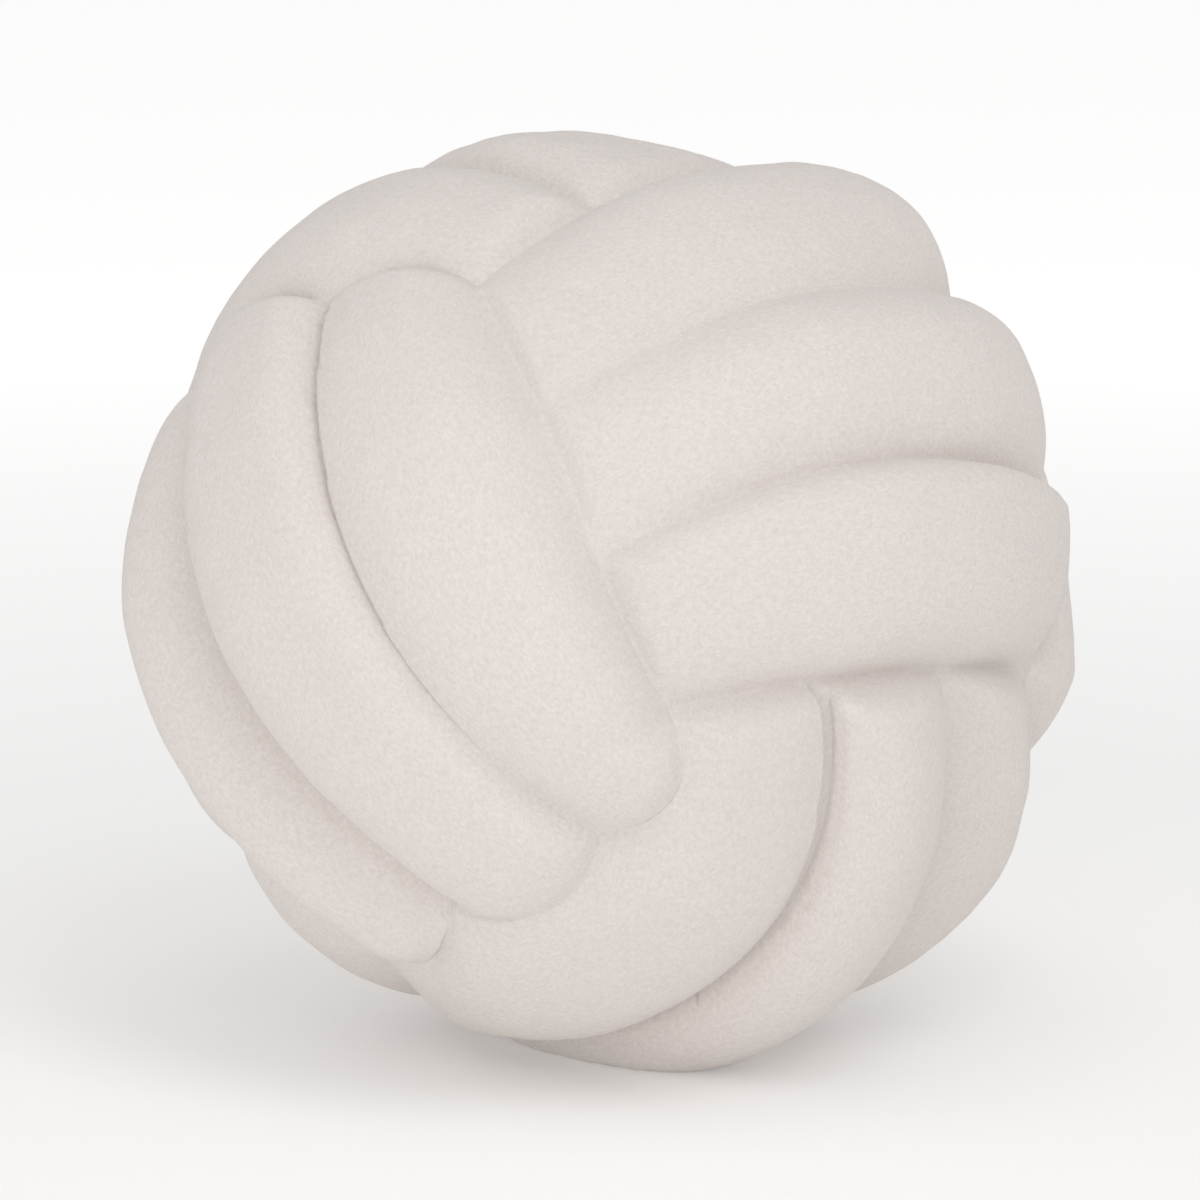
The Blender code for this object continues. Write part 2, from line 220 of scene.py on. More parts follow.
# How full each strand is over the even ball at its tail, middle and head, from the low side.
FULLNESS = {
    "A": ((9, -2, -6), (2, 2, -6), (-2, 0, -6)),
    "B": ((0, 6, 1), (2, 0, 3), (0, 4, 5)),
    "C": ((0, 5, -8), (-3, 5, -2), (-6, 1, -2)),
    "D": ((0, -3, -10), (0, 2, -11), (1, 2, -5)),
    "E": ((0, 0, 0), (0, 0, 0), (1, 1, 1)),
    "F": ((0, 0, 0), (0, -3, -4), (0, -3, -5)),
}


def unit(vectors: np.ndarray) -> np.ndarray:
    """Vectors scaled to length 1: v / |v|."""
    vectors = np.asarray(vectors, float)
    return vectors / np.linalg.norm(vectors, axis=-1, keepdims=True)


def corner(name: str) -> np.ndarray:
    """The direction of a place where three faces meet.

    Args:
        name: the three faces, a key of CORNERS.

    Returns:
        A unit vector on the knot's own axes.
    """
    longitude, latitude = (math.radians(angle) for angle in CORNERS[name])
    level = math.cos(latitude)
    return np.array([level * math.cos(longitude), level * math.sin(longitude),
                     math.sin(latitude)])


def through(values: Triple, share: np.ndarray) -> np.ndarray:
    """The smooth curve through a start, a middle and an end value.

    Args:
        values: the three values, at shares 0, 0.5 and 1.
        share: where to read the curve.

    Returns:
        The parabola through the three, at those shares.
    """
    start, middle, end = values
    return (start * (1.0 - share) * (1.0 - 2.0 * share) + middle * 4.0 * share * (1.0 - share)
            + end * share * (2.0 * share - 1.0))


def rounding(distance: np.ndarray, soft: float, width: float, steepness: float) -> np.ndarray:
    """How a strand's flank falls to a crevice, as part of an ellipse.

    Args:
        distance: distance from the crevice in millimetres.
        soft: distance over which the crevice's foot is rounded out.
        width: distance at which the flank is level.
        steepness: 0 for a flat slope to 1 for a flank that ends upright.

    Returns:
        (1 - sqrt(1 - (s x)^2)) / (1 - sqrt(1 - s^2)), with x from 0 at the width to 1 at the
        crevice and s the steepness.
    """
    distance = np.sqrt(np.maximum(distance, 0.0) ** 2 + soft ** 2) - soft
    inward = steepness * (1.0 - np.clip(distance / width, 0.0, 1.0))
    return (1.0 - np.sqrt(1.0 - inward ** 2)) / (1.0 - math.sqrt(1.0 - steepness ** 2))


@dataclass
class SoftNoise:
    """Smooth random unevenness: waves of about one length in every direction, added up.

    Attributes:
        length: the waves' length.
        seed: where the random draws start.
        waves: how many are added up.
        spread: smallest and largest wave number, as a share of the even one.
    """
    length: float
    seed: int
    waves: int = 40
    spread: Pair = (0.7, 1.35)

    def at(self, points: np.ndarray) -> np.ndarray:
        """The unevenness at some points.

        Args:
            points: places in the same unit as the wave's length.

        Returns:
            The sum of cos(k.p + phase) over the waves, scaled to a spread of 1.
        """
        draw = np.random.default_rng(self.seed)
        heading = unit(draw.normal(size=(self.waves, 3)))
        stretch = draw.uniform(*self.spread, self.waves)
        phase = draw.uniform(0.0, 2.0 * math.pi, self.waves)
        turns = points @ (heading * (2.0 * math.pi / self.length * stretch)[:, None]).T
        return np.cos(turns + phase).sum(axis=-1) * math.sqrt(2.0 / self.waves)


@dataclass
class KnotForm:
    """The wound ball's surface, in millimetres on the knot's own axes.

    Attributes:
        radius: the even ball's.
        strands: how many lie side by side on a face.
        cells: the grid's cells across one strand.
        crowd_across: how much they gather at the flanks, 1 for evenly spaced.
        crowd_along: how much they gather at the ends, 0 for evenly spaced.
        corner_depth: depth below the even ball where three faces meet.
        slot_depth: how far the floor of an open slot lies below the flanks beside it.
        open_gap: the gap at which a slot has its full depth.
        flank_blend: the power p by which falls add up, higher for sharper meetings.
        settle: distance from a crevice over which the filling's unevenness sets in.
        samples: points on each line that distances are measured to.
        nap_shift: how far the pile's map moves on from one strand to the next, in metres.
        lumps: height of the filling's unevenness for each length of lump.
    """
    radius: float = 150.0
    strands: int = 3
    cells: int = 43
    crowd_across: float = 1.55
    crowd_along: float = 0.32
    corner_depth: float = 11.0
    slot_depth: float = 5.0
    open_gap: float = 2.0
    flank_blend: float = 3.0
    settle: float = 6.0
    samples: int = 900
    nap_shift: Pair = (0.37, 0.53)
    lumps: Mapping[float, float] = field(default_factory=lambda: {58.0: 0.30, 26.0: 0.12, 11.0: 0.05})

    def run_and_side(self, face: Face, directions: np.ndarray) -> tuple[np.ndarray, np.ndarray]:
        """Angles of directions along a face's strands and across them.

        Args:
            face: the face that they are measured on.
            directions: unit vectors.

        Returns:
            atan2(run, outward) along the strands, and asin(side) across them.
        """
        along = np.arctan2(directions[..., face.run], face.sign * directions[..., face.outward])
        across = np.arcsin(np.clip(directions[..., face.side], -1.0, 1.0))
        return along, across

    def direction(self, face: Face, along: np.ndarray, across: np.ndarray) -> np.ndarray:
        """The direction at two angles: the reverse of run_and_side.

        Args:
            face: the face that they are measured on.
            along: angle along the strands.
            across: angle across them.

        Returns:
            Unit vectors: cos(across) cos(along) outward, cos(across) sin(along) along the run
            and sin(across) to the side.
        """
        out = np.zeros(np.shape(along) + (3,))
        out[..., face.outward] = face.sign * np.cos(across) * np.cos(along)
        out[..., face.run] = np.cos(across) * np.sin(along)
        out[..., face.side] = np.sin(across)
        return out

    def track(self, face: Face, start: Sequence[float], end: Sequence[float], bow: float,
              sway: float, share: np.ndarray) -> np.ndarray:
        """A line over a face from one direction to another.

        Args:
            face: the face that the line lies on.
            start: direction of its start.
            end: direction of its end.
            bow: sideways bulge at half length, in millimetres.
            sway: sideways S-bend, in millimetres.
            share: where on the line, from 0 to 1.

        Returns:
            Directions; the bend is bow sin(pi s) + sway sin(2 pi s).
        """
        along_start, across_start = self.run_and_side(face, unit(start))
        along_end, across_end = self.run_and_side(face, unit(end))
        bend = bow * np.sin(math.pi * share) + sway * np.sin(2.0 * math.pi * share)
        along = along_start + (along_end - along_start) * share
        across = across_start + (across_end - across_start) * share + bend / self.radius
        return self.direction(face, along, across)

    def taken_over(self, fall: np.ndarray, end_fall: np.ndarray,
                   rounded: np.ndarray) -> np.ndarray:
        """A strand's fall as the fall of its end takes it over.

        Args:
            fall: how far the surface falls away without the end.
            end_fall: how far the end falls away at its foot.
            rounded: the end's rounding r, from 0 to 1.

        Returns:
            (fall^p (1 - r^p) + (end_fall r)^p)^(1/p).
        """
        power = self.flank_blend
        return (np.maximum(fall, 0.0) ** power * (1.0 - rounded ** power)
                + (np.maximum(end_fall, 0.0) * rounded) ** power) ** (1.0 / power)

    def flank_marks(self, name: str) -> np.ndarray:
        """Shares of a flank's length at its ends and at its two splits."""
        return np.array([0.0, *FLANKS[name].splits, 1.0])

    def flank_track(self, name: str, share: np.ndarray) -> np.ndarray:
        """The edge of the strand on top, as if no strand end pressed into it.

        Args:
            name: the flank.
            share: where on its length, from 0 to 1.

        Returns:
            Directions on the bent track from its first corner to its second.
        """
        flank = FLANKS[name]
        return self.track(FACES[name[0]], corner(flank.start), corner(flank.end), flank.bow,
                          flank.sway, share)

    def scallops(self, name: str, share: np.ndarray) -> np.ndarray:
        """How far the strand ends below press into the strand on top.

        Args:
            name: the flank.
            share: where on its length, from 0 to 1.

        Returns:
            Millimetres: scallop sin(pi w), with w from 0 to 1 over each strand end.
        """
        marks = self.flank_marks(name)
        piece = np.clip(np.searchsorted(marks, share, side="right") - 1, 0, self.strands - 1)
        within = (share - marks[piece]) / (marks[piece + 1] - marks[piece])
        return FLANKS[name].scallop * np.sin(math.pi * np.clip(within, 0.0, 1.0))

    def flank_line(self, name: str, share: np.ndarray) -> np.ndarray:
        """The foot of a flank's crevice, scalloped round the strand ends that go under it.

        Args:
            name: the flank.
            share: where on its length, from 0 to 1.

        Returns:
            Directions: the flank's track, moved inwards over its face by scallops / radius.
        """
        face = FACES[name[0]]
        inward = 1.0 if name == face.low_flank else -1.0
        along, across = self.run_and_side(face, self.flank_track(name, share))
        return self.direction(face, along,
                              across + inward * self.scallops(name, share) / self.radius)

    def flank_depth(self, name: str, share: np.ndarray) -> np.ndarray:
        """The foot of a flank's crevice below the even ball.

        Args:
            name: the flank.
            share: where on its length, from 0 to 1.

        Returns:
            (d + f) r - f, which lies on the rounding r of the strand on top, with d the table
            depth and f that strand's fullness; taken over by the corner depth at both ends.
        """
        flank, face = FLANKS[name], FACES[name[0]]
        place = 0 if name == face.low_flank else self.strands - 1
        fullness = through(FULLNESS[name[0]][place], share)
        fall = through(flank.depth, share) + fullness
        fall = fall * rounding(self.scallops(name, share), flank.soft, *flank.over)
        line = self.flank_line(name, share)
        for end, meeting in ((face.tail, flank.start), (face.head, flank.end)):
            distance = self.radius * np.arccos(np.clip(line @ corner(meeting), -1.0, 1.0))
            rounded = rounding(distance, FLANKS[end].soft, *FLANKS[end].under)
            fall = self.taken_over(fall, self.corner_depth + fullness, rounded)
        return fall - fullness

    def seam_line(self, name: str, number: int, share: np.ndarray) -> np.ndarray:
        """The foot of the crevice between two strands of a face.

        Args:
            name: the face.
            number: the seam, 1 or 2 from the face's low side.
            share: where on its length, from 0 at the tail flank to 1 at the head flank.

        Returns:
            Directions on the bent track from one flank's split to the other's.
        """
        face, seam = FACES[name], SEAMS[name][number - 1]
        start, end = (self.flank_line(flank, self.flank_marks(flank)[[number]])[0]
                      for flank in (face.tail, face.head))
        return self.track(face, start, end, seam.bow, seam.sway, share)

    def nearest_on(self, line: np.ndarray, directions: np.ndarray) -> tuple[np.ndarray, np.ndarray]:
        """The nearest point of a line to each direction.

        Args:
            line: directions along the line.
            directions: where to measure from.

        Returns:
            The distance over the ball, radius arccos(a.b), and the nearest point's number.
        """
        closeness = directions.reshape(-1, 3) @ line.T
        number = np.argmax(closeness, axis=1)
        nearest = np.take_along_axis(closeness, number[:, None], axis=1)[:, 0]
        shape = directions.shape[:-1]
        distance = self.radius * np.arccos(np.clip(nearest, -1.0, 1.0))
        return distance.reshape(shape), number.reshape(shape)

    def seam_depth(self, name: str, number: int, share: np.ndarray) -> np.ndarray:
        """The foot of a seam, deeper where it stands open.

        Args:
            name: the face.
            number: the seam, 1 or 2 from the face's low side.
            share: where on its length, from 0 to 1.

        Returns:
            Depth below the even ball: d + slot depth x (0 closed to 1 open), with the two
            strands' mean fullness, taken over by the falls of both ends.
        """
        face, seam = FACES[name], SEAMS[name][number - 1]
        fullness = (through(FULLNESS[name][number - 1], share)
                    + through(FULLNESS[name][number], share)) / 2.0
        opened = np.clip(through(seam.gap, share) / self.open_gap, 0.0, 1.0)
        fall = through(seam.depth, share) + self.slot_depth * opened + fullness
        line = self.seam_line(name, number, share)
        for end in (face.tail, face.head):
            samples = self.flank_line(end, np.linspace(0.0, 1.0, self.samples))
            rounded = rounding(self.nearest_on(samples, line)[0], FLANKS[end].soft,
                               *FLANKS[end].under)
            end_fall = self.flank_depth(end, self.flank_marks(end)[number]) + fullness
            fall = self.taken_over(fall, end_fall, rounded)
        return fall - fullness

    def shares_across(self) -> np.ndarray:
        """Shares of a strand's width, gathered at both flanks.

        Returns:
            (1 + sign(t) (1 - (1 - |t|)^c)) / 2, with t from -1 to 1 and c the crowding.
        """
        spread = np.linspace(-1.0, 1.0, self.cells + 1)
        crowded = 1.0 - (1.0 - np.abs(spread)) ** self.crowd_across
        return (np.sign(spread) * crowded + 1.0) / 2.0

    def shares_along(self) -> np.ndarray:
        """Shares of a strand's length, gathered at both ends: (1 + t (1 + c (1 - t^2))) / 2."""
        spread = np.linspace(-1.0, 1.0, self.strands * self.cells + 1)
        return (spread * (1.0 + self.crowd_along * (1.0 - spread ** 2)) + 1.0) / 2.0

    def shares_on_flank(self, name: str) -> np.ndarray:
        """Shares of a flank's length that suit the strand ends under it.

        Args:
            name: the flank.

        Returns:
            The shares across a strand, laid between each two marks of the flank in turn.
        """
        marks, across = self.flank_marks(name), self.shares_across()[:-1]
        pieces = [low + (high - low) * across for low, high in zip(marks, marks[1:])]
        return np.append(np.concatenate(pieces), 1.0)

    def borders(self, name: str, place: int) -> list[tuple[np.ndarray, np.ndarray]]:
        """The borders of a strand's patch.

        Args:
            name: the face.
            place: the strand, counted from the face's low side.

        Returns:
            Directions and depths of the low side, the high side, the tail and the head.
        """
        face, across, along = FACES[name], self.shares_across(), self.shares_along()
        found = []
        for flank, number in ((face.low_flank, place), (face.high_flank, place + 1)):
            if number in (0, self.strands):
                share = self.shares_on_flank(flank)
                found.append((self.flank_line(flank, share), self.flank_depth(flank, share)))
            else:
                found.append((self.seam_line(name, number, along),
                              self.seam_depth(name, number, along)))
        for end in (face.tail, face.head):
            marks = self.flank_marks(end)
            share = marks[place] + (marks[place + 1] - marks[place]) * across
            found.append((self.flank_line(end, share), self.flank_depth(end, share)))
        return found

    def patch_directions(self, name: str, place: int) -> np.ndarray:
        """A grid of directions stretched between the four borders: a Coons patch.

        Args:
            name: the face.
            place: the strand, counted from the face's low side.

        Returns:
            Sides blended across, plus ends blended along, less the corners blended both ways.
        """
        low, high, tail, head = (line for line, _ in self.borders(name, place))
        u = self.shares_along()[:, None, None]
        v = self.shares_across()[None, :, None]
        sides = (1.0 - v) * low[:, None] + v * high[:, None]
        ends = (1.0 - u) * tail[None] + u * head[None]
        corners = ((1.0 - u) * ((1.0 - v) * low[0] + v * high[0])
                   + u * ((1.0 - v) * low[-1] + v * high[-1]))
        return unit(sides + ends - corners)

    def crevices(self, name: str, place: int) -> tuple[list[Crevice], list[Crevice]]:
        """The crevices round a strand.

        Args:
            name: the face.
            place: the strand, counted from the face's low side.

        Returns:
            Those at its two sides, and those at its tail and head.
        """
        face, share = FACES[name], np.linspace(0.0, 1.0, self.samples)
        closed = np.zeros(self.samples)
        sides: list[Crevice] = []
        ends: list[Crevice] = []
        for flank, number in ((face.low_flank, place), (face.high_flank, place + 1)):
            if number in (0, self.strands):
                row = FLANKS[flank]
                sides.append(Crevice(self.flank_track(flank, share), through(row.depth, share),
                                     closed, closed, row.soft, *row.over))
            else:
                seam = SEAMS[name][number - 1]
                half_gap = np.maximum(through(seam.gap, share), 0.0) / 2.0
                sides.append(Crevice(self.seam_line(name, number, share),
                                     through(seam.depth, share), half_gap,
                                     self.seam_depth(name, number, share), seam.soft,
                                     *(seam.high if number == place else seam.low)))
        for end in (face.tail, face.head):
            row = FLANKS[end]
            ends.append(Crevice(self.flank_line(end, share), self.flank_depth(end, share),
                                closed, closed, row.soft, *row.under))
        return sides, ends

    def filling(self, grid: np.ndarray) -> np.ndarray:
        """Unevenness of the stuffing, in millimetres, at some directions."""
        return sum(SoftNoise(length, seed=int(length)).at(grid * self.radius) * height
                   for length, height in self.lumps.items())

    def patch(self, name: str, place: int) -> np.ndarray:
        """Points of one strand.

        Args:
            name: the face.
            place: the strand, counted from the face's low side.

        Returns:
            A grid of points: direction x (radius + fullness + filling - falls), where the falls
            at its sides add up as (sum of fall^p)^(1/p) and the ends' falls take them over.
        """
        grid = self.patch_directions(name, place)
        fullness = through(FULLNESS[name][place], self.shares_along())[:, None]
        falls, slots = np.zeros(grid.shape[:2]), np.zeros(grid.shape[:2])
        fade = np.ones(grid.shape[:2])
        sides, ends = self.crevices(name, place)
        for crevice in sides:
            distance, number = self.nearest_on(crevice.line, grid)
            half_gap = crevice.half_gap[number]
            fall = np.maximum(crevice.depth[number] + fullness, 0.0)
            falls += (fall * rounding(distance - half_gap, crevice.soft, crevice.width,
                                      crevice.steepness)) ** self.flank_blend
            slots = np.maximum(slots, np.where(distance < half_gap, crevice.bottom[number], 0.0))
            fade *= np.clip((distance - half_gap) / self.settle, 0.0, 1.0)
        falls = falls ** (1.0 / self.flank_blend)
        for crevice in ends:
            distance, number = self.nearest_on(crevice.line, grid)
            rounded = rounding(distance, crevice.soft, crevice.width, crevice.steepness)
            falls = self.taken_over(falls, crevice.depth[number] + fullness, rounded)
            fade *= np.clip(distance / self.settle, 0.0, 1.0)
        height = self.radius + fullness - falls
        height += fade * self.filling(grid)
        height = np.where(slots > 0.0, np.minimum(height, self.radius - slots), height)
        points = grid * height[..., None]
        edges = (np.s_[:, 0], np.s_[:, -1], np.s_[0], np.s_[-1])
        for edge, (line, depth) in zip(edges, self.borders(name, place)):
            points[edge] = line * (self.radius - depth)[:, None]
        return points

    def nap_map(self, points: np.ndarray) -> np.ndarray:
        """Map coordinates of a strand, for the pattern of its pile.

        Args:
            points: the strand's grid of points.

        Returns:
            For each point, in metres: the length run on the strand's middle line, and the share
            across from that line x the width at half length.
        """
        middle = points[:, points.shape[1] // 2]
        steps = np.linalg.norm(np.diff(middle, axis=0), axis=1)
        run = np.concatenate([[0.0], np.cumsum(steps)])
        width = np.linalg.norm(np.diff(points[points.shape[0] // 2], axis=0), axis=1).sum()
        across = (self.shares_across() - 0.5) * width
        return np.stack(np.meshgrid(run, across, indexing="ij"), axis=-1) * MM

    def surface(self) -> tuple[np.ndarray, np.ndarray, np.ndarray]:
        """All strands together.

        Returns:
            Points, four-cornered faces as point numbers, and map coordinates for each point.
            Neighbouring patches have border points of their own, in the same places.
        """
        points, quads, maps, count = [], [], [], 0
        for name, face in FACES.items():
            for place in range(self.strands):
                patch = self.patch(name, place)
                index = count + np.arange(patch[..., 0].size).reshape(patch.shape[:2])
                corners = [index[:-1, :-1], index[1:, :-1], index[1:, 1:], index[:-1, 1:]]
                if face.sign < 0:
                    corners.reverse()
                shift = np.array(self.nap_shift) * len(points)
                points.append(patch.reshape(-1, 3))
                quads.append(np.stack(corners, axis=-1).reshape(-1, 4))
                maps.append((self.nap_map(patch) + shift).reshape(-1, 2))
                count += index.size
        return np.vstack(points), np.vstack(quads), np.vstack(maps)


class Grain(Enum):
    """Which way a pattern in the pile is drawn out: its scale along the strand and across it."""
    EVEN = (1.0, 1.0)
    COMBED = (0.45, 1.0)


@dataclass(frozen=True)
class Fleece:
    """Short brushed pile: matt, warm off-white and finely mottled, with painted shade between its
    tips.

    Attributes:
        name: the material's name.
        light: colour of the tips.
        dark: colour between them, random tone together with painted shade in the pile's hollows.
        tone_range: the pile pattern's values at which its colour is all dark and all light.
        roughness: of the shader.
        specular: the shader's specular level.
        sheen: the shader's sheen weight.
        sheen_roughness: how wide the sheen spreads.
        tuft: length of one tuft, in metres.
        fibre: width of one combed fibre, in metres.
        pile_steps: how many finer steps the pile's patterns have.
        pile_height: height of the pile's relief, in metres.
        fold: length of one small crease in the fleece, in metres.
        fold_steps: how many finer steps the creases' pattern has.
        fold_height: height of the creases, in metres.
        step_strength: strength of each finer step, as a share of the one before.
    """
    name: str = "fleece"
    light: Triple = (0.856, 0.800, 0.767)
    dark: Triple = (0.747, 0.689, 0.654)
    tone_range: Pair = (0.41, 0.59)
    roughness: float = 1.0
    specular: float = 0.08
    sheen: float = 0.06
    sheen_roughness: float = 0.5
    tuft: float = 0.0016
    fibre: float = 0.0010
    pile_steps: float = 4.0
    pile_height: float = 0.0006
    fold: float = 0.006
    fold_steps: float = 2.0
    fold_height: float = 0.0003
    step_strength: float = 0.90

    def noise(self, tree: bpy.types.NodeTree, vector: bpy.types.NodeSocket, size: float,
              steps: float, grain: Grain = Grain.EVEN) -> bpy.types.NodeSocket:
        """A noise pattern of some size.

        Args:
            tree: the material's nodes.
            vector: the coordinates that it reads.
            size: length of one blotch, in metres.
            steps: how many finer steps are added.
            grain: whether the pattern is drawn out along the strand.

        Returns:
            The pattern's factor, about 0.5.
        """
        stretch = tree.nodes.new("ShaderNodeMapping")
        stretch.inputs["Scale"].default_value = (grain.value[0] / size, grain.value[1] / size,
                                                 1.0 / size)
        tree.links.new(vector, stretch.inputs["Vector"])
        pattern = tree.nodes.new("ShaderNodeTexNoise")
        pattern.inputs["Scale"].default_value = 1.0
        pattern.inputs["Detail"].default_value = steps
        pattern.inputs["Roughness"].default_value = self.step_strength
        tree.links.new(stretch.outputs["Vector"], pattern.inputs["Vector"])
        return pattern.outputs["Fac"]

    def pile(self, tree: bpy.types.NodeTree) -> bpy.types.NodeSocket:
        """The pile's pattern: the mean of even tufts and of fibres combed along the strand.

        Args:
            tree: the material's nodes.

        Returns:
            The pattern's factor, about 0.5.
        """
        place = tree.nodes.new("ShaderNodeTexCoord")
        combed = tree.nodes.new("ShaderNodeUVMap")
        combed.uv_map = NAP_MAP
        both = tree.nodes.new("ShaderNodeMath")
        both.operation = "ADD"
        tree.links.new(self.noise(tree, place.outputs["Object"], self.tuft, self.pile_steps),
                       both.inputs[0])
        tree.links.new(self.noise(tree, combed.outputs["UV"], self.fibre, self.pile_steps,
                                  Grain.COMBED), both.inputs[1])
        mean = tree.nodes.new("ShaderNodeMath")
        mean.operation = "MULTIPLY"
        mean.inputs[1].default_value = 0.5
        tree.links.new(both.outputs[0], mean.inputs[0])
        return mean.outputs[0]

    def mottle_and_painted_shade(self, tree: bpy.types.NodeTree, pile: bpy.types.NodeSocket) -> bpy.types.NodeSocket:
        """The colour, dark between the tips and light on them: random tone together with painted
        shade, as the pile's bump is low where the colour is dark.

        Args:
            tree: the material's nodes.
            pile: the pile's pattern.

        Returns:
            The mixed colour.
        """
        # Painted shade: the colour follows the same pattern that sets the bump's height, so besides
        # its random mottle it is darker where the pile is low between the tips.
        tone = tree.nodes.new("ShaderNodeMapRange")
        tone.inputs["From Min"].default_value = self.tone_range[0]
        tone.inputs["From Max"].default_value = self.tone_range[1]
        tree.links.new(pile, tone.inputs["Value"])
        colour = tree.nodes.new("ShaderNodeMix")
        colour.data_type = "RGBA"
        colour.inputs["A"].default_value = (*self.dark, 1.0)
        colour.inputs["B"].default_value = (*self.light, 1.0)
        tree.links.new(tone.outputs["Result"], colour.inputs["Factor"])
        return colour.outputs["Result"]

    def relief(self, tree: bpy.types.NodeTree, pile: bpy.types.NodeSocket) -> bpy.types.NodeSocket:
        """The surface's small relief: the pile's bump on top of small creases.

        Args:
            tree: the material's nodes.
            pile: the pile's pattern.

        Returns:
            The bumped normal.
        """
        place = tree.nodes.new("ShaderNodeTexCoord")
        folds = tree.nodes.new("ShaderNodeBump")
        folds.inputs["Strength"].default_value = 1.0
        folds.inputs["Distance"].default_value = self.fold_height
        tree.links.new(self.noise(tree, place.outputs["Object"], self.fold, self.fold_steps),
                       folds.inputs["Height"])
        bump = tree.nodes.new("ShaderNodeBump")
        bump.inputs["Strength"].default_value = 1.0
        bump.inputs["Distance"].default_value = self.pile_height
        tree.links.new(pile, bump.inputs["Height"])
        tree.links.new(folds.outputs["Normal"], bump.inputs["Normal"])
        return bump.outputs["Normal"]

    def material(self) -> bpy.types.Material:
        """The finish as nodes.

        Returns:
            A matt shader with the mottled colour, partly painted shade, and the pile's relief.
        """
        made = bpy.data.materials.new(self.name)
        made.use_nodes = True
        tree = made.node_tree
        shader = tree.nodes["Principled BSDF"]
        shader.inputs["Roughness"].default_value = self.roughness
        shader.inputs["Specular IOR Level"].default_value = self.specular
        shader.inputs["Sheen Weight"].default_value = self.sheen
        shader.inputs["Sheen Roughness"].default_value = self.sheen_roughness
        pile = self.pile(tree)
        tree.links.new(self.mottle_and_painted_shade(tree, pile), shader.inputs["Base Color"])
        tree.links.new(self.relief(tree, pile), shader.inputs["Normal"])
        return made


@dataclass
class Cushion:
    """The stuffed cover, set down as it lies.

    Attributes:
        form: the wound ball's surface.
        finish: the fleece on it.
        turn: how the knot's axes lie in the frame, turned about x, y and z, in degrees.
        flat_spot: how far its own weight presses it flat, in millimetres.
        weld: border points closer than this are one, in millimetres.
        fill: how full it is stuffed, from 0 to 1; not used.
    """
    form: KnotForm = field(default_factory=KnotForm)
    finish: Fleece = field(default_factory=Fleece)
    turn: Triple = (176.5, -35.6, -40.3)
    flat_spot: float = 6.5
    weld: float = 0.02
    fill: float = 0.95

    def set_down(self, points: np.ndarray) -> tuple[np.ndarray, np.ndarray]:
        """Turn the ball as it lies, press its flat spot and put it over the solid's middle.

        Args:
            points: millimetres on the knot's axes.

        Returns:
            Metres in the frame, with every height kept at or above the floor, and the place of
            the ball's centre.
        """
        turn = np.array(Euler([math.radians(angle) for angle in self.turn]).to_matrix())
        world = points @ turn.T * MM
        lift = (self.form.radius - self.flat_spot) * MM
        world[:, 2] = np.maximum(world[:, 2] + lift, 0.0)
        low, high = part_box(CUSHION_NODE)
        middle = (world.min(axis=0) + world.max(axis=0)) / 2.0
        shift = (np.array(low) + np.array(high))[:2] / 2.0 - middle[:2]
        world[:, :2] += shift
        return world, np.array([*shift, lift])

    def sew(self, world: np.ndarray, quads: np.ndarray, maps: np.ndarray) -> bpy.types.Mesh:
        """One closed mesh of all the patches, joined at their borders and facing outwards.

        Args:
            world: points in metres in the frame.
            quads: four point numbers for each face.
            maps: the pile's map coordinates for each point.

        Returns:
            The mesh.
        """
        mesh = bpy.data.meshes.new("fleece_cover")
        mesh.from_pydata(world.tolist(), [], quads.tolist())
        nap = mesh.uv_layers.new(name=NAP_MAP)
        nap.data.foreach_set("uv", maps[quads.ravel()].astype(np.float32).ravel())
        shape = bmesh.new()
        shape.from_mesh(mesh)
        bmesh.ops.remove_doubles(shape, verts=shape.verts, dist=self.weld * MM)
        bmesh.ops.recalc_face_normals(shape, faces=shape.faces)
        shape.to_mesh(mesh)
        shape.free()
        mesh.shade_smooth()
        return mesh

    def build(self) -> tuple[bpy.types.Object, np.ndarray]:
        """The cover as one closed, dressed piece.

        Returns:
            The piece, and the place of the ball's centre.
        """
        points, quads, maps = self.form.surface()
        world, centre = self.set_down(points)
        mesh = self.sew(world, quads, maps)
        mesh.materials.append(self.finish.material())
        cover = bpy.data.objects.new("fleece_cover", mesh)
        bpy.context.scene.collection.objects.link(cover)
        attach(cover, "root")
        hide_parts(CUSHION_NODE)
        return cover, centre


@dataclass(frozen=True)
class Lamp:
    """A soft round light that faces the ball.

    Attributes:
        name: its name.
        azimuth: its direction, from the camera's side round to the right, in degrees.
        elevation: its height above level, in degrees.
        distance: from the ball's centre, in metres.
        size: its diameter, in metres.
        power: in watts.
    """
    name: str
    azimuth: float
    elevation: float
    distance: float
    size: float
    power: float

    def hang(self, centre: np.ndarray) -> None:
        """Put the light up, aimed at the ball's centre.

        Args:
            centre: the ball's centre, in metres.
        """
        light = bpy.data.lights.new(self.name, "AREA")
        light.shape = "DISK"
        light.size = self.size
        light.energy = self.power
        lamp = bpy.data.objects.new(self.name, light)
        turn, rise = math.radians(self.azimuth), math.radians(self.elevation)
        away = Vector((math.sin(turn) * math.cos(rise), -math.cos(turn) * math.cos(rise),
                       math.sin(rise)))
        lamp.location = Vector(centre) + away * self.distance
        lamp.rotation_euler = away.to_track_quat("Z", "Y").to_euler()
        lamp.visible_camera = False
        bpy.context.scene.collection.objects.link(lamp)


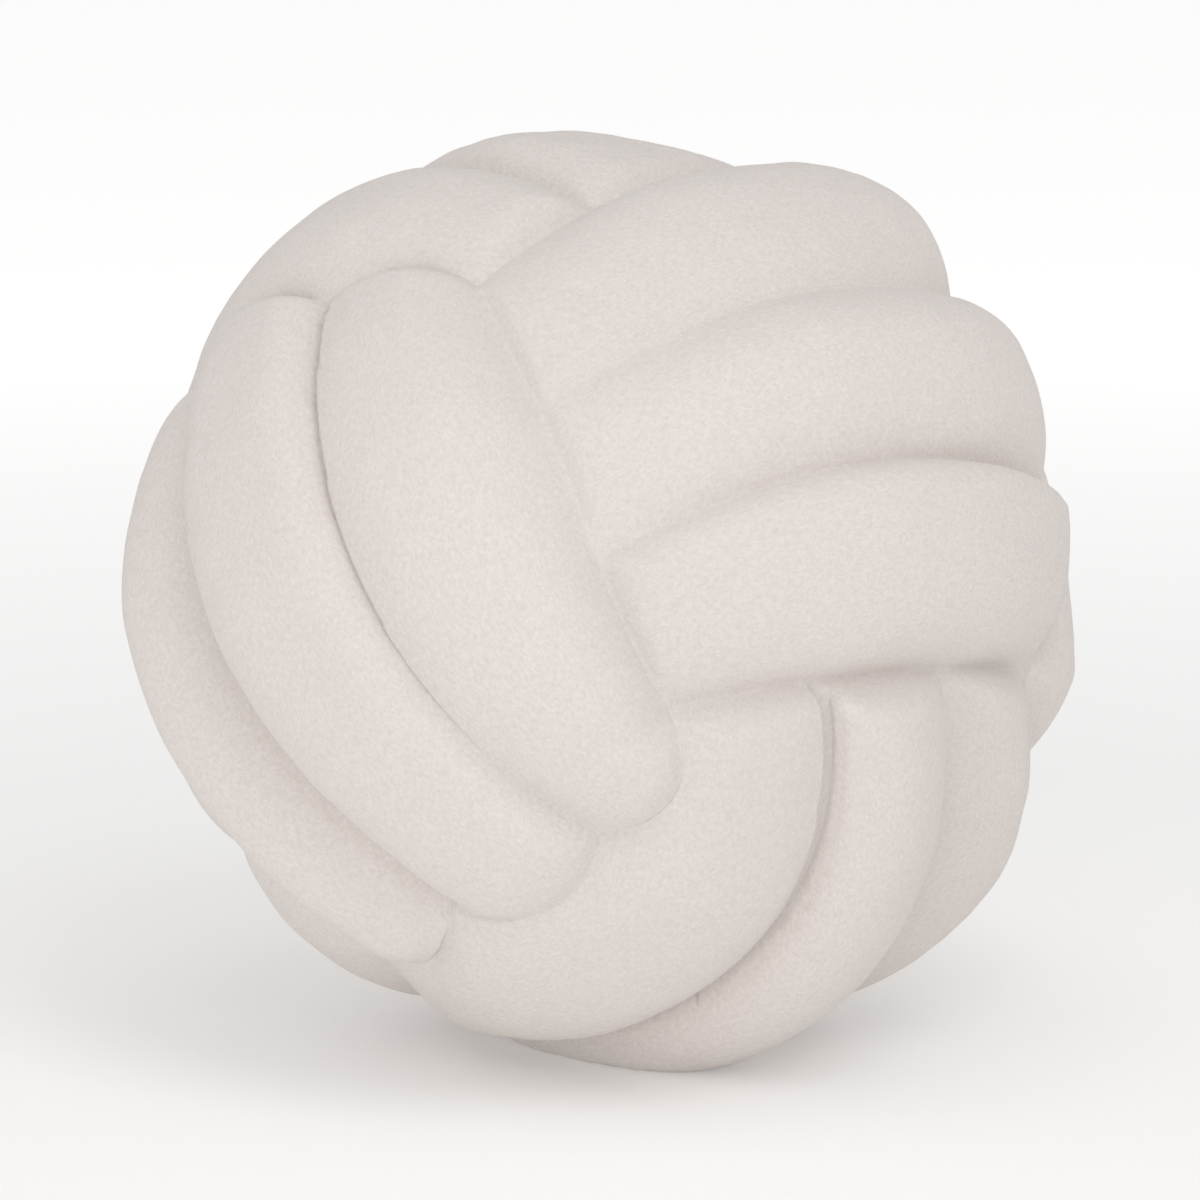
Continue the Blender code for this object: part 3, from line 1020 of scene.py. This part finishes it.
@dataclass
class Studio:
    """Pale floor with a painted glow, even soft light and the photograph's viewpoint.

    Attributes:
        centre: the ball's centre, in metres.
        ball_radius: the even ball's, in metres.
        floor_tone: the floor's colour.
        floor_roughness: how matt the floor is.
        floor_glow: strength of its painted glow under the ball and further out.
        glow_reach: distances in metres at which the glow starts to rise and has risen.
        floor_reach: half the floor's side, in metres.
        sky: strength of the even light all round.
        lamps: the soft lights.
        camera_distance: from the ball's centre, in metres.
        camera_elevation: the camera's height above level, in degrees.
        film_width: width of the camera's film, in millimetres.
        frame_pixels: the photograph's side.
        ball_pixels: the even ball's radius in the photograph.
        ball_in_frame: the ball's centre there, from its top left corner.
    """
    centre: np.ndarray
    ball_radius: float
    floor_tone: Triple = (0.93, 0.925, 0.92)
    floor_roughness: float = 0.9
    floor_glow: Pair = (0.14, 0.38)
    glow_reach: Pair = (0.45, 1.6)
    floor_reach: float = 12.0
    sky: float = 0.62
    lamps: tuple[Lamp, ...] = (
        Lamp("key_lamp", 30.0, 50.0, 2.2, 1.2, 7.7),
        Lamp("front_lamp", 0.0, 20.0, 2.2, 1.2, 3.3),
        Lamp("top_lamp", 0.0, 80.0, 2.2, 1.2, 3.3),
        Lamp("low_lamp", -25.0, 1.0, 1.6, 0.28, 2.3),
        Lamp("left_lamp", -90.0, 20.0, 2.2, 1.2, 1.0),
    )
    camera_distance: float = 2.0
    camera_elevation: float = 10.0
    film_width: float = 36.0
    frame_pixels: float = 1200.0
    ball_pixels: float = 475.0
    ball_in_frame: Pair = (607.0, 593.0)

    def lay_floor(self) -> None:
        """A wide flat floor under the cushion, with a painted glow."""
        reach = self.floor_reach
        corners = np.array([[-1, -1, 0], [1, -1, 0], [1, 1, 0], [-1, 1, 0]], float) * reach
        mesh = bpy.data.meshes.new("floor")
        mesh.from_pydata(corners.tolist(), [], [(0, 1, 2, 3)])
        made = bpy.data.materials.new("floor")
        made.use_nodes = True
        shader = made.node_tree.nodes["Principled BSDF"]
        shader.inputs["Base Color"].default_value = (*self.floor_tone, 1.0)
        shader.inputs["Roughness"].default_value = self.floor_roughness
        shader.inputs["Specular IOR Level"].default_value = 0.0
        # Painted glow: the floor gives off white light of its own; its strength is set just below.
        shader.inputs["Emission Color"].default_value = WHITE
        self.paint_floor_glow(made.node_tree, shader)
        mesh.materials.append(made)
        floor = bpy.data.objects.new("floor", mesh)
        bpy.context.scene.collection.objects.link(floor)

    def paint_floor_glow(self, tree: bpy.types.NodeTree, shader: bpy.types.Node) -> None:
        """Painted glow: the floor gives off light of its own, weak under the ball and stronger
        further out, which lights the ball from below and brightens the ground round it.

        Args:
            tree: the floor material's nodes.
            shader: the floor's shader.
        """
        place = tree.nodes.new("ShaderNodeTexCoord")
        away = tree.nodes.new("ShaderNodeVectorMath")
        away.operation = "LENGTH"
        tree.links.new(place.outputs["Object"], away.inputs[0])
        glow = tree.nodes.new("ShaderNodeMapRange")
        for end, reach, strength in zip(("Min", "Max"), self.glow_reach, self.floor_glow):
            glow.inputs["From " + end].default_value = reach
            glow.inputs["To " + end].default_value = strength
        tree.links.new(away.outputs["Value"], glow.inputs["Value"])
        tree.links.new(glow.outputs["Result"], shader.inputs["Emission Strength"])

    def light_room(self) -> None:
        """An even pale sky and the soft lamps."""
        world = bpy.data.worlds.new("studio")
        world.use_nodes = True
        sky = world.node_tree.nodes["Background"]
        sky.inputs["Color"].default_value = WHITE
        sky.inputs["Strength"].default_value = self.sky
        bpy.context.scene.world = world
        for lamp in self.lamps:
            lamp.hang(self.centre)

    def set_camera(self) -> None:
        """The camera at the photograph's angle, with the ball as large as in it and where it is.

        The focal length in pixels is ball_pixels / tan(a), where sin(a) is the ball's radius over
        the camera's distance.
        """
        half_angle = math.asin(self.ball_radius / self.camera_distance)
        sight = bpy.data.cameras.new("camera")
        sight.sensor_width = self.film_width
        sight.lens = self.ball_pixels / math.tan(half_angle) * self.film_width / self.frame_pixels
        half = self.frame_pixels / 2.0
        sight.shift_x = (half - self.ball_in_frame[0]) / self.frame_pixels
        sight.shift_y = (self.ball_in_frame[1] - half) / self.frame_pixels
        camera = bpy.data.objects.new("camera", sight)
        rise = math.radians(self.camera_elevation)
        away = Vector((0.0, -math.cos(rise), math.sin(rise)))
        camera.location = Vector(self.centre) + away * self.camera_distance
        camera.rotation_euler = away.to_track_quat("Z", "Y").to_euler()
        bpy.context.scene.collection.objects.link(camera)
        bpy.context.scene.camera = camera

    def build(self) -> None:
        """Floor, light, camera and plain colours on screen."""
        self.lay_floor()
        self.light_room()
        self.set_camera()
        bpy.context.scene.view_settings.view_transform = "Standard"


def main() -> None:
    """Build the cushion and the studio round it."""
    logging.basicConfig(level=logging.INFO, format="%(message)s")
    cushion = Cushion()
    cover, centre = cushion.build()
    LOG.info("%s: %d faces", cover.name, len(cover.data.polygons))
    Studio(centre, cushion.form.radius * MM).build()
    LOG.info("studio: camera, %d lamps and floor", len(Studio.lamps))


if __name__ == "__main__":
    main()
